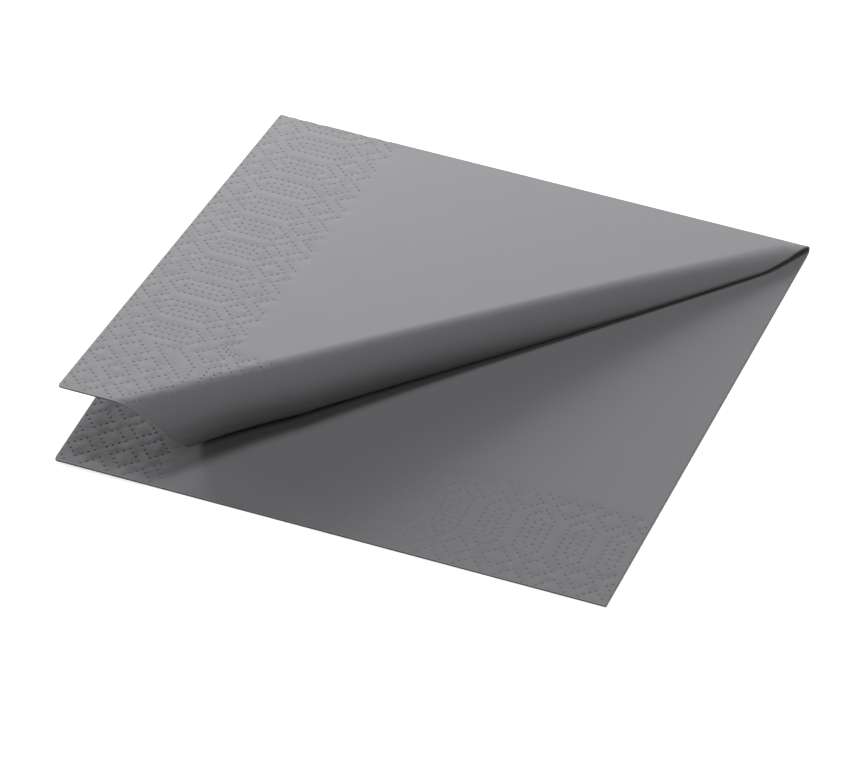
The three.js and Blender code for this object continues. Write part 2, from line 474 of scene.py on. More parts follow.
@dataclass(frozen=True)
class BorderPattern:
    """The dotted border that is pressed into the paper along the left and front cut edges.

    Hexagons, one inside the other, follow each other along both edges. Diamonds stand between
    them, half diamonds stand on the cut edge, and small V shapes close the border on its inner
    side. A field of diamonds and one bent hexagon fill the corner. A dot is a pair of distances:
    from the left edge and from the front edge.
    """

    side: float
    border_width: float = 37.7 * MM
    edge_margin: float = 0.75 * MM
    closest: float = 1.05 * MM
    left_line: float = 17.5 * MM
    front_line: float = 20.3 * MM
    left_pitch: float = 12.37 * MM
    front_pitch: float = 12.2 * MM
    first_on_left: float = 39.6 * MM
    first_on_front: float = 38.2 * MM
    hexagon_half_width: float = 3.7 * MM
    hexagon_dots: tuple[float, ...] = (0.93 * MM, 2.8 * MM, 4.67 * MM, 6.54 * MM)
    hexagon_tip: float = 10.3 * MM
    inner_half_width: float = 1.25 * MM
    inner_dots: tuple[float, ...] = (0.0, 2.13 * MM, 4.27 * MM)
    inner_tip: float = 5.9 * MM
    diamond_half: float = 4.05 * MM
    diamond_off_line: float = 12.7 * MM
    v_off_line: float = 19.4 * MM
    field_first: Pair = (-1.6 * MM, 1.24 * MM)
    field_pitch: Pair = (6.6 * MM, 6.5 * MM)
    field_rows: tuple[tuple[int, ...], ...] = ((0, 2, 4), (1, 3, 5), (0, 2, 4), (1, 3), (0, 2), (1,))
    bent_lines: tuple[tuple[Pair, Pair], ...] = (
        ((16.0 * MM, 32.4 * MM), (23.5 * MM, 32.4 * MM)),
        ((23.5 * MM, 32.4 * MM), (30.5 * MM, 25.6 * MM)),
        ((30.5 * MM, 25.6 * MM), (30.5 * MM, 17.2 * MM)),
        ((17.3 * MM, 30.8 * MM), (28.5 * MM, 19.0 * MM)),
    )
    bent_diamond: Pair = (32.2 * MM, 33.3 * MM)

    def line_dots(self, start: Pair, end: Pair) -> list[Pair]:
        """Dots along a straight line, both ends included, spaced as in a diamond's side."""
        steps = max(1, round(math.dist(start, end) / (self.diamond_half * ROOT_TWO / 3.0)))
        return [
            (start[0] + (end[0] - start[0]) * i / steps, start[1] + (end[1] - start[1]) * i / steps)
            for i in range(steps + 1)
        ]

    def diamond(self, first: float, second: float) -> list[Pair]:
        """The twelve dots of a diamond round a centre.

        Args:
            first: Distance of its centre from the first edge.
            second: Distance of its centre from the second edge.

        Returns:
            Its dots.
        """
        h = self.diamond_half
        corners = [(first + h, second), (first, second + h), (first - h, second), (first, second - h)]
        dots = []
        for start, end in zip(corners, corners[1:] + corners[:1]):
            dots += self.line_dots(start, end)[:-1]
        return dots

    def hexagons(self, line: float, centre: float) -> list[Pair]:
        """Two hexagons, one inside the other.

        Args:
            line: Distance of their centre from the edge.
            centre: Distance of their centre along the edge.

        Returns:
            Dots as distance from the edge and distance along it.
        """
        dots = []
        last, half_width = self.hexagon_dots[-1], self.hexagon_half_width
        for side in (-1.0, 1.0):
            for end in (-1.0, 1.0):
                dots += [(line + side * d, centre + end * half_width) for d in self.hexagon_dots]
                for share in (1.0 / 3.0, 2.0 / 3.0):
                    off = last + (self.hexagon_tip - last) * share
                    dots.append((line + side * off, centre + end * half_width * (1.0 - share)))
                dots += [(line + side * d, centre + end * self.inner_half_width) for d in self.inner_dots]
            dots.append((line + side * self.hexagon_tip, centre))
            dots.append((line + side * self.inner_tip, centre))
        return dots

    def edge_run(self, line: float, pitch: float, first: float) -> list[Pair]:
        """The border along one edge, as distances from the edge and along it.

        Args:
            line: Distance of the hexagons' centre line from the edge.
            pitch: Distance from one hexagon to the next.
            first: Where the first one is along the edge.

        Returns:
            Dots as distance from the edge and distance along it.
        """
        dots = []
        for i in range(int((self.side - first) / pitch) + 2):
            centre = first + pitch * i
            dots += self.hexagons(line, centre)
            for off_line, ahead in ((self.v_off_line, 0.0), (self.diamond_off_line, pitch / 2.0)):
                dots += self.diamond(line - off_line, centre + ahead)
                dots += self.diamond(line + off_line, centre + ahead)
        return dots

    def corner(self) -> list[Pair]:
        """The field of diamonds and the bent hexagon in the corner of the border.

        Returns:
            Dots as distances from the left and the front edge.
        """
        dots = []
        for i, row in enumerate(self.field_rows):
            first = self.field_first[0] + self.field_pitch[0] * i
            for j in row:
                dots += self.diamond(first, self.field_first[1] + self.field_pitch[1] * j)
        for start, end in self.bent_lines:
            dots += self.line_dots(start, end)
        return dots + self.diamond(*self.bent_diamond)

    def dots(self) -> Array:
        """Every dot of one leaf, one in each row, without those that come too close to others.

        Returns:
            Rows of distance from the left edge and distance from the front edge.
        """
        left = self.edge_run(self.left_line, self.left_pitch, self.first_on_left)
        front = self.edge_run(self.front_line, self.front_pitch, self.first_on_front)
        found = np.array(left + [(b, a) for a, b in front] + self.corner())
        low, high = self.edge_margin, self.side - self.edge_margin
        inside = (found > low).all(axis=1) & (found < high).all(axis=1)
        found = found[inside & (found.min(axis=1) < self.border_width)]
        gaps = np.linalg.norm(found[:, None, :] - found[None, :, :], axis=2)
        earlier = np.tril(gaps < self.closest, -1)
        return found[~earlier.any(axis=1)]


@dataclass
class PressedBorder:
    """The border as it is pressed into both leaves: small pits, and a soft dip round each line.

    A relief is an array with one row for each place: how far it is sunk, and how steeply the
    depth grows to the right and along the run.
    """

    form: FoldedForm
    dot_radius: float = 0.46 * MM
    dot_floor: float = 0.22 * MM
    dot_depth: float = 0.18 * MM
    dot_floor_depth: float = 0.145 * MM
    wall_slope: float = 1.05
    dot_sides: int = 6
    plain_dot_sides: int = 4
    dip_depth: float = 0.1 * MM
    dip_reach: float = 1.4 * MM
    rim_fade: float = 2.0 * MM
    roll_strength: float = 0.4
    roll_fade: float = 7.0 * MM
    faint_from: Pair = (26.0 * MM, 34.0 * MM)
    faint_to: Pair = (88.0 * MM, 112.0 * MM)
    faint_depth: float = 45.0 * MM
    faint_share: float = 0.85
    dots: Array = field(init=False)
    tree: KDTree = field(init=False)

    def __post_init__(self) -> None:
        """Sets out the dots on both leaves."""
        chart = BorderPattern(self.form.size.width).dots()
        lifted = np.stack([chart[:, 0], self.form.whole_run - chart[:, 1]], axis=1)
        self.dots = np.concatenate([chart, lifted])
        self.tree = KDTree(len(self.dots))
        for i, dot in enumerate(self.dots):
            self.tree.insert((*dot, 0.0), i)
        self.tree.balance()

    def from_nearest(self, flat: Array) -> Array:
        """Steps to flat places from the dots nearest to them."""
        return flat - self.dots[[self.tree.find((*place, 0.0))[1] for place in flat]]

    def strength(self, flat: Array) -> Array:
        """How strongly the border is pressed at flat places.

        It is faint along part of the lower leaf's front edge, and weaker on the roll.

        Args:
            flat: Flat places, one in each row.

        Returns:
            A share for each place, from 0 to 1.
        """
        across = flat[:, 0]
        faint = smooth_share(across, *self.faint_from) * (self.form.from_front(flat) < self.faint_depth)
        faint = faint * (1.0 - smooth_share(across, *self.faint_to))
        on_roll = smooth_share(self.form.past_start(flat), 0.0, self.roll_fade)
        on_lifted = 1.0 - (1.0 - self.roll_strength) * on_roll
        return np.where(self.form.is_lower(flat), 1.0 - self.faint_share * faint, on_lifted)

    def dips(self, flat: Array) -> Array:
        """The relief of the soft dips round the dotted lines, at flat places.

        Args:
            flat: Flat places, one in each row.

        Returns:
            Their relief.
        """
        step = self.from_nearest(flat)
        squared = (step ** 2).sum(axis=1) / self.dip_reach ** 2
        sunk = self.dip_depth * np.exp(-squared) * smooth_share(self.form.from_rim(flat), 0.0, self.rim_fade)
        return np.column_stack([sunk, -2.0 * sunk[:, None] * step / self.dip_reach ** 2])

    def pits(self, dots: Array, detailed: bool) -> tuple[Array, Array]:
        """The pits themselves.

        Args:
            dots: Centres of the pits.
            detailed: Whether a pit has a floor of its own, or is a plain small cone.

        Returns:
            Flat places round and in the pits, and their relief.
        """
        sides = self.dot_sides if detailed else self.plain_dot_sides
        radii = (self.dot_radius, self.dot_floor) if detailed else (self.dot_radius,)
        angles = np.arange(sides) * 2.0 * np.pi / sides
        ring = np.stack([np.cos(angles), np.sin(angles)], axis=1)
        rings = [(dots[:, None, :] + ring[None, :, :] * radius).reshape(-1, 2) for radius in radii]
        flat = np.concatenate([*rings, dots])
        relief = np.zeros((len(flat), 3))
        relief[-len(dots):, 0] = self.dot_depth
        if detailed:
            walls = slice(len(rings[0]), -len(dots))
            relief[walls, 0] = self.dot_floor_depth
            relief[walls, 1:] = -self.wall_slope * np.tile(ring, (len(dots), 1))
        return flat, relief


@dataclass
class SheetDraft:
    """Points and faces of the sheet, gathered before they become a mesh."""

    points: list[Array] = field(default_factory=list)
    marks: list[Array] = field(default_factory=list)
    faces: list[list[int]] = field(default_factory=list)
    normals: list[Array] = field(default_factory=list)
    charts: list[Array] = field(default_factory=list)
    slots: list[int] = field(default_factory=list)
    count: int = 0

    def add_points(self, places: Array, marks: Array) -> int:
        """Adds points.

        Args:
            places: Body places.
            marks: For each, its distances from the left and front cut edges and its face.

        Returns:
            The number of the first new point.
        """
        first = self.count
        self.points.append(places)
        self.marks.append(marks)
        self.count += len(places)
        return first

    def add_faces(self, faces: Array, chart: Array, normals: Array | None = None,
                  finish: Finish = Finish.SURFACE) -> None:
        """Adds faces that all have the same number of corners.

        Args:
            faces: The points of each face.
            chart: For each corner, its place on the flat map of the sheet.
            normals: For each corner, the direction that its shading takes, if it is known.
            finish: The finish of the faces.
        """
        self.faces += faces.tolist()
        self.charts.append(chart.reshape(-1, 2))
        self.normals.append(np.zeros((faces.size, 3)) if normals is None else normals.reshape(-1, 3))
        self.slots += [finish.value] * len(faces)

    def to_mesh(self, name: str) -> bpy.types.Mesh:
        """Makes the mesh, with its marks, flat map, finishes and shading.

        Args:
            name: The mesh's name.

        Returns:
            The mesh.
        """
        mesh = bpy.data.meshes.new(name)
        mesh.from_pydata(np.concatenate(self.points).tolist(), [], self.faces)
        marks = mesh.attributes.new(MARKS, "FLOAT_VECTOR", "POINT")
        marks.data.foreach_set("vector", np.concatenate(self.marks).astype(np.float32).ravel())
        chart = mesh.uv_layers.new(name=FLAT_MAP)
        chart.uv.foreach_set("vector", np.concatenate(self.charts).astype(np.float32).ravel())
        slots = np.array(self.slots, dtype=np.int32)
        mesh.polygons.foreach_set("material_index", slots)
        mesh.polygons.foreach_set("use_smooth", slots == Finish.SURFACE.value)
        mesh.normals_split_custom_set(np.concatenate(self.normals).tolist())
        mesh.update()
        return mesh


@dataclass(frozen=True)
class SheetChart:
    """The flat map of the sheet: the outer side on the left, the inner side mirrored beside it.

    Columns holds, for each face, where it starts on the map and its width, negative if mirrored.
    """

    form: FoldedForm
    columns: tuple[Pair, ...] = ((0.006, 0.478), (0.982, 0.005), (0.99, 0.005), (0.97, -0.478))
    margin: float = 0.006
    height: float = 0.985
    rim_width: float = 0.004

    def at(self, face: Face, flat: Array) -> Array:
        """Places on the map for flat places on one face.

        Args:
            face: Which of the four faces.
            flat: Flat places, one in each row.

        Returns:
            Places on the map, from 0 to 1 both ways.
        """
        start, width = self.columns[face.value]
        across = start + width * (flat[:, 0] / self.form.size.width)
        up = self.margin + self.height * flat[:, 1] / self.form.whole_run
        return np.stack([across, up], axis=1)


@dataclass
class NapkinSheet:
    """The whole sheet as one closed mesh of four layers."""

    size: SheetSize
    lower_puff: float = 0.5 * MM
    lifted_puff: float = 0.08 * MM
    puff_from: float = 1.0 * MM
    puff_reach: float = 30.0 * MM
    rim_step: float = 1.0 * MM
    rim_clearance: float = 0.6 * MM
    dot_clearance: float = 1.35
    plain_step: float = 3.2 * MM
    border_step: float = 2.1 * MM
    hidden_step: float = 5.0 * MM
    roll_stations: int = 112
    station_easing: float = 0.1
    upper_steps: int = 14
    face_step: float = 2.0 * MM
    lower_steps: int = 18
    level_step: float = 2.6 * MM
    fold_steps: int = 12
    fold_across: tuple[float, float, float] = (2.0 * MM, 1.0 * MM, 3.0 * MM)
    side_fold_steps: int = 5
    form: FoldedForm = field(init=False)
    border: PressedBorder = field(init=False)
    chart: SheetChart = field(init=False)
    draft: SheetDraft = field(init=False)
    starts: dict[Face, int] = field(init=False)

    def __post_init__(self) -> None:
        """Makes the folded form and the pressed border."""
        self.form = FoldedForm(self.size)
        self.border = PressedBorder(self.form)
        self.chart = SheetChart(self.form)
        self.draft = SheetDraft()
        self.starts = {}

    @property
    def width_steps(self) -> int:
        """Number of steps along a front edge."""
        return round(self.size.width / self.rim_step)

    @property
    def run_steps(self) -> int:
        """Number of steps along the whole run."""
        return round(self.form.whole_run / self.rim_step)

    def rim(self) -> Array:
        """Flat places round the sheet's edge, anticlockwise from the front left corner.

        They are drawn in where the two left corners are rounded.

        Returns:
            Flat places, one in each row.
        """
        width, run, radius = self.size.width, self.form.whole_run, self.size.corner_radius
        corners = [(0.0, 0.0), (width, 0.0), (width, run), (0.0, run)]
        places = []
        counts = [self.width_steps, self.run_steps] * 2
        for start, end, steps in zip(corners, corners[1:] + corners[:1], counts):
            share = np.arange(steps)[:, None] / steps
            places.append(np.array(start) * (1.0 - share) + np.array(end) * share)
        flat = np.concatenate(places)
        centres = np.clip(flat, radius, [width, run - radius])
        way = flat - centres
        in_corner = (np.abs(way) > 0.0).all(axis=1)
        flat[in_corner] = centres[in_corner] + radius * unit(way[in_corner])
        return flat

    def section_stops(self, along: float) -> Array:
        """Distances across the diagonal at which one section of the roll gets its points.

        Args:
            along: Distance of the section along the diagonal.

        Returns:
            The distances, in rising order.
        """
        lifted = self.form.lifted
        here = np.array([along])
        section = lifted.section(here)
        bend_from = section.start[0]
        face_from = bend_from + section.upper[0] * section.turn[0]
        lower_from = face_from + section.face[0]
        level_from = lower_from + section.lower[0] * (lifted.level_turn - section.turn[0])
        reach = self.size.side * ROOT_TWO
        face_steps = max(1, math.ceil(section.face[0] / self.face_step))
        stops = np.concatenate([
            np.linspace(bend_from, face_from, self.upper_steps, endpoint=False),
            np.linspace(face_from, lower_from, face_steps, endpoint=False),
            np.linspace(lower_from, level_from, self.lower_steps + 1),
            np.arange(level_from + self.level_step, reach, self.level_step),
        ])
        edge = min(along * lifted.kept_share(here)[0], reach - along)
        return np.unique(stops[stops < edge])

    def roll_places(self) -> Array:
        """Flat places on the roll: rows of places round its section at each station.

        Returns:
            Flat places, one in each row.
        """
        share = np.arange(1, self.roll_stations + 1) / (self.roll_stations + 1)
        eased = share - np.sin(2.0 * np.pi * share) * self.station_easing
        found = []
        for along in self.size.side * ROOT_TWO * eased:
            across = self.section_stops(along)
            found.append(self.form.flat_place(np.full(len(across), along), across))
        return np.concatenate(found)

    def fold_places(self) -> Array:
        """Flat places on the round of the back fold.

        Returns:
            Flat places, one in each row.
        """
        left, right, step = self.fold_across
        runs = np.linspace(self.form.lower_run, self.form.lifted_run, self.fold_steps + 1)
        across = np.arange(left, self.size.width - right, step)
        return np.stack(np.meshgrid(across, runs), axis=-1).reshape(-1, 2)

    def grid_places(self, step: float) -> Array:
        """Flat places on a staggered grid of one step, away from the roll and the back fold.

        Args:
            step: Distance between neighbours.

        Returns:
            Flat places, one in each row.
        """
        form = self.form
        found = []
        for i, run in enumerate(np.arange(step / 2.0, form.whole_run, step * math.sqrt(0.75))):
            across = np.arange(step / 2.0 * (1 + i % 2), self.size.width, step)
            found.append(np.stack([across, np.full(len(across), run)], axis=1))
        flat = np.concatenate(found)
        run = flat[:, 1]
        on_fold = (run > form.lower_run - step / 2.0) & (run < form.lifted_run + step / 2.0)
        on_roll = (run >= form.lifted_run) & (form.past_start(flat) > -step / 3.0)
        return flat[~on_fold & ~on_roll]

    def off_rim(self, flat: Array) -> Array:
        """The flat places that keep clear of the sheet's edge."""
        return flat[self.form.from_rim(flat) > self.rim_clearance]

    def plain_places(self) -> Array:
        """Flat places on a shown face apart from its rim and its dots.

        Returns:
            Flat places, one in each row.
        """
        border = BorderPattern(self.size.width).border_width + self.border_step
        grids = []
        for step, in_border in ((self.plain_step, False), (self.border_step, True)):
            grid = self.grid_places(step)
            from_cut = np.minimum(grid[:, 0], self.form.from_front(grid))
            grids.append(grid[(from_cut < border) == in_border])
        plain = self.off_rim(np.concatenate([*grids, self.roll_places(), self.fold_places()]))
        from_dot = np.linalg.norm(self.border.from_nearest(plain), axis=1)
        return plain[from_dot > self.border.dot_radius * self.dot_clearance]

    def shown_places(self, face: Face) -> tuple[Array, Array]:
        """Flat places for a shown face, and their relief.

        The upper side of each leaf gets detailed dots, and its underside gets plain ones.

        Args:
            face: Which shown face.

        Returns:
            The places, rim first, and their relief.
        """
        border = self.border
        base = np.concatenate([self.rim(), self.plain_places()])
        upper_side = self.form.is_lower(border.dots) == (face is Face.INNER)
        detailed, detailed_relief = border.pits(border.dots[upper_side], True)
        simple, simple_relief = border.pits(border.dots[~upper_side], False)
        flat = np.concatenate([base, detailed, simple])
        pits = np.concatenate([np.zeros((len(base), 3)), detailed_relief, simple_relief])
        return flat, (border.dips(flat) + pits) * border.strength(flat)[:, None]

    def hidden_places(self) -> Array:
        """Flat places for the faces between the layers, rim first."""
        inside = [self.grid_places(self.hidden_step), self.roll_places()[::2], self.fold_places()]
        return np.concatenate([self.rim(), self.off_rim(np.concatenate(inside))])

    @staticmethod
    def triangles(flat: Array) -> Array:
        """Triangles between flat places, anticlockwise as seen on the flat paper.

        Args:
            flat: Flat places, one in each row.

        Returns:
            The places of each triangle, by number.
        """
        result = delaunay_2d_cdt([Vector(place) for place in flat / MM], [], [], 0, SAME_PLACE)
        source = [origin[0] for origin in result[3]]
        return np.array([[source[corner] for corner in face] for face in result[2]])

    def puff(self, flat: Array) -> Array:
        """How far the inner layer stands off the outer one, away from the edges and folds.

        Args:
            flat: Flat places, one in each row.

        Returns:
            A distance for each place.
        """
        form = self.form
        lower = form.is_lower(flat)
        from_back = np.where(lower, form.lower_run - flat[:, 1], flat[:, 1] - form.lifted_run)
        nearest = np.minimum(from_back, form.from_rim(flat))
        share = smooth_share(nearest, self.puff_from, self.puff_reach)
        return share * np.where(lower, self.lower_puff, self.lifted_puff)

    def marks(self, flat: Array, face: Face) -> Array:
        """For flat places, their distances from the left and front cut edges and their face."""
        return np.column_stack([flat[:, 0], self.form.from_front(flat), np.full(len(flat), face.value)])

    def add_face_of_paper(self, face: Face) -> None:
        """Adds one of the four faces of the paper, over both leaves and the back fold.

        Args:
            face: Which of the four faces.
        """
        if face in (Face.OUTER, Face.INNER):
            flat, relief = self.shown_places(face)
        else:
            flat = self.hidden_places()
            relief = np.zeros((len(flat), 3))
        faces_outward = face in (Face.OUTER, Face.INNER_HIDDEN)
        facing = 1.0 if faces_outward else -1.0
        places, outward = self.form.surface(flat)
        depth = np.full(len(flat), self.size.depth(face)) + facing * relief[:, 0]
        if face in (Face.INNER_HIDDEN, Face.INNER):
            depth = depth + self.puff(flat)
        first = self.draft.add_points(places - outward * depth[:, None], self.marks(flat, face))
        self.starts[face] = first
        rightward, runward = self.form.ways(flat)
        normals = unit(facing * outward + relief[:, 1:2] * rightward + relief[:, 2:] * runward)
        triangles = self.triangles(flat)
        if faces_outward:
            triangles = triangles[:, ::-1]
        chart = self.chart.at(face, flat)
        self.draft.add_faces(triangles + first, chart[triangles], normals[triangles])

    def side_fold_line(self, outer: Face, inner: Face, bulge: float) -> tuple[Array, Array]:
        """Adds the points of one round of the side fold, between two faces of the paper.

        Args:
            outer: The face that the round starts from.
            inner: The face that it ends on.
            bulge: How far it stands out.

        Returns:
            For each step along the right edge, the points round the fold and their map places.
        """
        right = np.arange(self.width_steps, self.width_steps + self.run_steps + 1)
        flat = self.rim()[right]
        places, outward = self.form.surface(flat)
        ways = self.form.side_fold_way(flat)
        steps = self.side_fold_steps
        angle = np.pi * np.arange(1, steps + 1) / (steps + 1)
        top, bottom = self.size.depth(outer), self.size.depth(inner)
        depth = (top + bottom) / 2.0 - (bottom - top) / 2.0 * np.cos(angle)
        inward = outward[:, None, :] * depth[None, :, None]
        sideways = ways[:, None, :] * (bulge * np.sin(angle))[None, :, None]
        curve = places[:, None, :] - inward + sideways
        marks = np.repeat(self.marks(flat, outer), steps, axis=0)
        first = self.draft.add_points(curve.reshape(-1, 3), marks)
        inside = first + np.arange(len(right) * steps).reshape(-1, steps)
        points = np.column_stack([self.starts[outer] + right, inside, self.starts[inner] + right])
        share = (np.arange(steps + 2) / (steps + 1))[None, :, None]
        start, end = (self.chart.at(face, flat)[:, None, :] for face in (outer, inner))
        return points, start * (1.0 - share) + end * share

    def add_side_fold(self) -> None:
        """Adds the round of the side fold, outside and inside, and its two cut ends."""
        bulge = self.size.side_fold_bulge
        outside, outside_map = self.side_fold_line(Face.OUTER, Face.INNER, bulge)
        inside, inside_map = self.side_fold_line(
            Face.OUTER_HIDDEN, Face.INNER_HIDDEN, bulge - self.size.layer)
        for points, chart, order in ((outside, outside_map, -1), (inside, inside_map, 1)):
            corners = [(0, 0), (0, 1), (1, 1), (1, 0)][::order]
            rows, columns = points.shape[0] - 1, points.shape[1] - 1
            quads = [points[i:i + rows, j:j + columns].reshape(-1) for i, j in corners]
            charts = [chart[i:i + rows, j:j + columns].reshape(-1, 2) for i, j in corners]
            self.draft.add_faces(np.stack(quads, axis=1), np.stack(charts, axis=1))
        for end, order in ((0, -1), (-1, 1)):
            outer, core, near = outside[end], inside[end], outside_map[end]
            far = near + np.array([0.0, order * self.chart.rim_width])
            self.add_cut(
                (outer[:-1], core[:-1], core[1:], outer[1:]),
                (near[:-1], far[:-1], far[1:], near[1:]), order)

    def add_cut(self, corners: tuple[Array, ...], chart: tuple[Array, ...], order: int) -> None:
        """Adds a strip of cut edge, from the corners of its faces and their map places."""
        quads, charts = (np.stack(group, axis=1)[:, ::order] for group in (corners, chart))
        self.draft.add_faces(quads, charts, finish=Finish.CUT_EDGE)

    def add_cut_edges(self) -> None:
        """Adds the cut edges of both layers, along the front edges and the left edge."""
        rim = self.rim()
        here = np.arange(len(rim))
        after = np.roll(here, -1)
        cut = (here < self.width_steps) | (here >= self.width_steps + self.run_steps)
        here, after = here[cut], after[cut]
        on_left = here >= 2 * self.width_steps + self.run_steps
        in_front = here < self.width_steps
        for shown, hidden, order in (
            (Face.OUTER, Face.OUTER_HIDDEN, -1), (Face.INNER, Face.INNER_HIDDEN, 1),
        ):
            top, core, chart = self.starts[shown], self.starts[hidden], self.chart.at(shown, rim)
            off_front = np.where(in_front[:, None], np.array([0.0, -1.0]), np.array([0.0, 1.0]))
            way = np.where(on_left[:, None], np.array([order, 0.0]), off_front)
            out = way * self.chart.rim_width
            self.add_cut(
                (top + after, top + here, core + here, core + after),
                (chart[after], chart[here], chart[here] + out, chart[after] + out), order)

    def build(self, finishes: dict[Finish, bpy.types.Material]) -> bpy.types.Object:
        """Builds the sheet and dresses it in the material of each finish.

        Args:
            finishes: The material of each finish.

        Returns:
            The finished object.
        """
        for face in Face:
            self.add_face_of_paper(face)
        self.add_side_fold()
        self.add_cut_edges()
        mesh = self.draft.to_mesh("napkin_sheet")
        for finish in Finish:
            mesh.materials.append(finishes[finish])
        sheet = bpy.data.objects.new("napkin_sheet", mesh)
        bpy.context.scene.collection.objects.link(sheet)
        triangles = len(mesh.loops) - 2 * len(mesh.polygons)
        points, dots = len(mesh.vertices), len(self.border.dots)
        log.info("sheet: %d points, %d triangles, %d dots", points, triangles, dots)
        return sheet


def add_node(tree: bpy.types.NodeTree, kind: str, inputs: dict[str | int, object],
             **settings: object) -> bpy.types.Node:
    """Adds a shader node.

    Args:
        tree: The tree that it joins.
        kind: Its type, such as Mix.
        inputs: For each input, its value or the output that it is linked from.
        settings: Its other settings, which are made first.

    Returns:
        The node.
    """
    node = tree.nodes.new("ShaderNode" + kind)
    for name, value in settings.items():
        setattr(node, name, value)
    for name, value in inputs.items():
        if isinstance(value, bpy.types.NodeSocket):
            tree.links.new(value, node.inputs[name])
        else:
            node.inputs[name].default_value = value
    return node


def calculate(tree: bpy.types.NodeTree, operation: str, first: object,
              second: object) -> bpy.types.NodeSocket:
    """Adds a Math node on numbers or other nodes' outputs, and returns its result."""
    return add_node(tree, "Math", {0: first, 1: second}, operation=operation).outputs[0]


def start_group(name: str, numbers: dict[str, float], results: tuple[str, ...]) -> bpy.types.NodeTree:
    """Starts a node group. Its input Place is the distances from the left and front cut edges.

    Args:
        name: Its name.
        numbers: Its other inputs, with their values.
        results: Its outputs, each from 0 to 1.

    Returns:
        The group, with its input node and its output node.
    """
    group = bpy.data.node_groups.new(name, "ShaderNodeTree")
    group.interface.new_socket("Place", in_out="INPUT", socket_type="NodeSocketVector")
    for label, value in numbers.items():
        number = group.interface.new_socket(label, in_out="INPUT", socket_type="NodeSocketFloat")
        number.default_value = value
    for label in results:
        group.interface.new_socket(label, in_out="OUTPUT", socket_type="NodeSocketFloat")
    for kind in ("Input", "Output"):
        group.nodes.new("NodeGroup" + kind).name = kind
    return group


@dataclass(frozen=True)
class TissueFibre:
    """The fine felt of tissue paper: short fibres, and thicker and thinner clouds of them."""

    name: str = "tissue fibre"
    fibre_stretch: tuple[float, float, float] = (1.0, 3.2, 1.0)
    fibre_scale: float = 1400.0
    fibre_detail: float = 3.0
    fibre_roughness: float = 0.6
    fibre_distortion: float = 0.6
    cloud_scale: float = 60.0
    cloud_detail: float = 4.0
    cloud_roughness: float = 0.55
    cloud_share: float = 0.5

    def group(self) -> bpy.types.NodeTree:
        """Builds the node group once: the fibres give the height, and with the clouds the tone.

        Returns:
            The node group.
        """
        if self.name in bpy.data.node_groups:
            return bpy.data.node_groups[self.name]
        numbers = {
            "Fibre Scale": self.fibre_scale, "Cloud Scale": self.cloud_scale,
            "Cloud Share": self.cloud_share,
        }
        group = start_group(self.name, numbers, ("Height", "Tone"))
        given, made = group.nodes["Input"].outputs, group.nodes["Output"].inputs
        stretch = add_node(group, "Mapping", {"Scale": self.fibre_stretch, "Vector": given["Place"]})
        fibre = add_node(group, "TexNoise", {
            "Vector": stretch.outputs["Vector"], "Scale": given["Fibre Scale"],
            "Detail": self.fibre_detail, "Roughness": self.fibre_roughness,
            "Distortion": self.fibre_distortion,
        })
        cloud = add_node(group, "TexNoise", {
            "Vector": given["Place"], "Scale": given["Cloud Scale"],
            "Detail": self.cloud_detail, "Roughness": self.cloud_roughness,
        })
        height, clouds = fibre.outputs["Fac"], cloud.outputs["Fac"]
        tone = add_node(group, "Mix", {"Factor": given["Cloud Share"], "A": height, "B": clouds})
        group.links.new(height, made["Height"])
        group.links.new(tone.outputs["Result"], made["Tone"])
        return group


@dataclass(frozen=True)
class EdgeLint:
    """The loosened fibres along the cut edges, as a mask that is 1 on the edge."""

    name: str = "edge lint"
    reach: float = 0.6 * MM
    break_up: float = 0.5
    ragged_scale: float = 900.0
    ragged_detail: float = 2.0

    def group(self) -> bpy.types.NodeTree:
        """Builds the node group once: the mask fades out over the reach, broken up by a noise.

        Returns:
            The node group.
        """
        if self.name in bpy.data.node_groups:
            return bpy.data.node_groups[self.name]
        numbers = {"Reach": self.reach, "Break-up": self.break_up}
        group = start_group(self.name, numbers, ("Mask",))
        given, made = group.nodes["Input"].outputs, group.nodes["Output"].inputs
        split = add_node(group, "SeparateXYZ", {"Vector": given["Place"]}).outputs
        noise = {"Vector": given["Place"], "Scale": self.ragged_scale, "Detail": self.ragged_detail}
        ragged = add_node(group, "TexNoise", noise).outputs["Fac"]
        nearest = calculate(group, "MINIMUM", split["X"], split["Y"])
        share = calculate(group, "DIVIDE", nearest, given["Reach"])
        inside = calculate(group, "SUBTRACT", 1.0, share)
        inside.node.use_clamp = True
        kept = calculate(group, "SUBTRACT", 1.0, calculate(group, "MULTIPLY", ragged, given["Break-up"]))
        group.links.new(calculate(group, "MULTIPLY", inside, kept), made["Mask"])
        return group


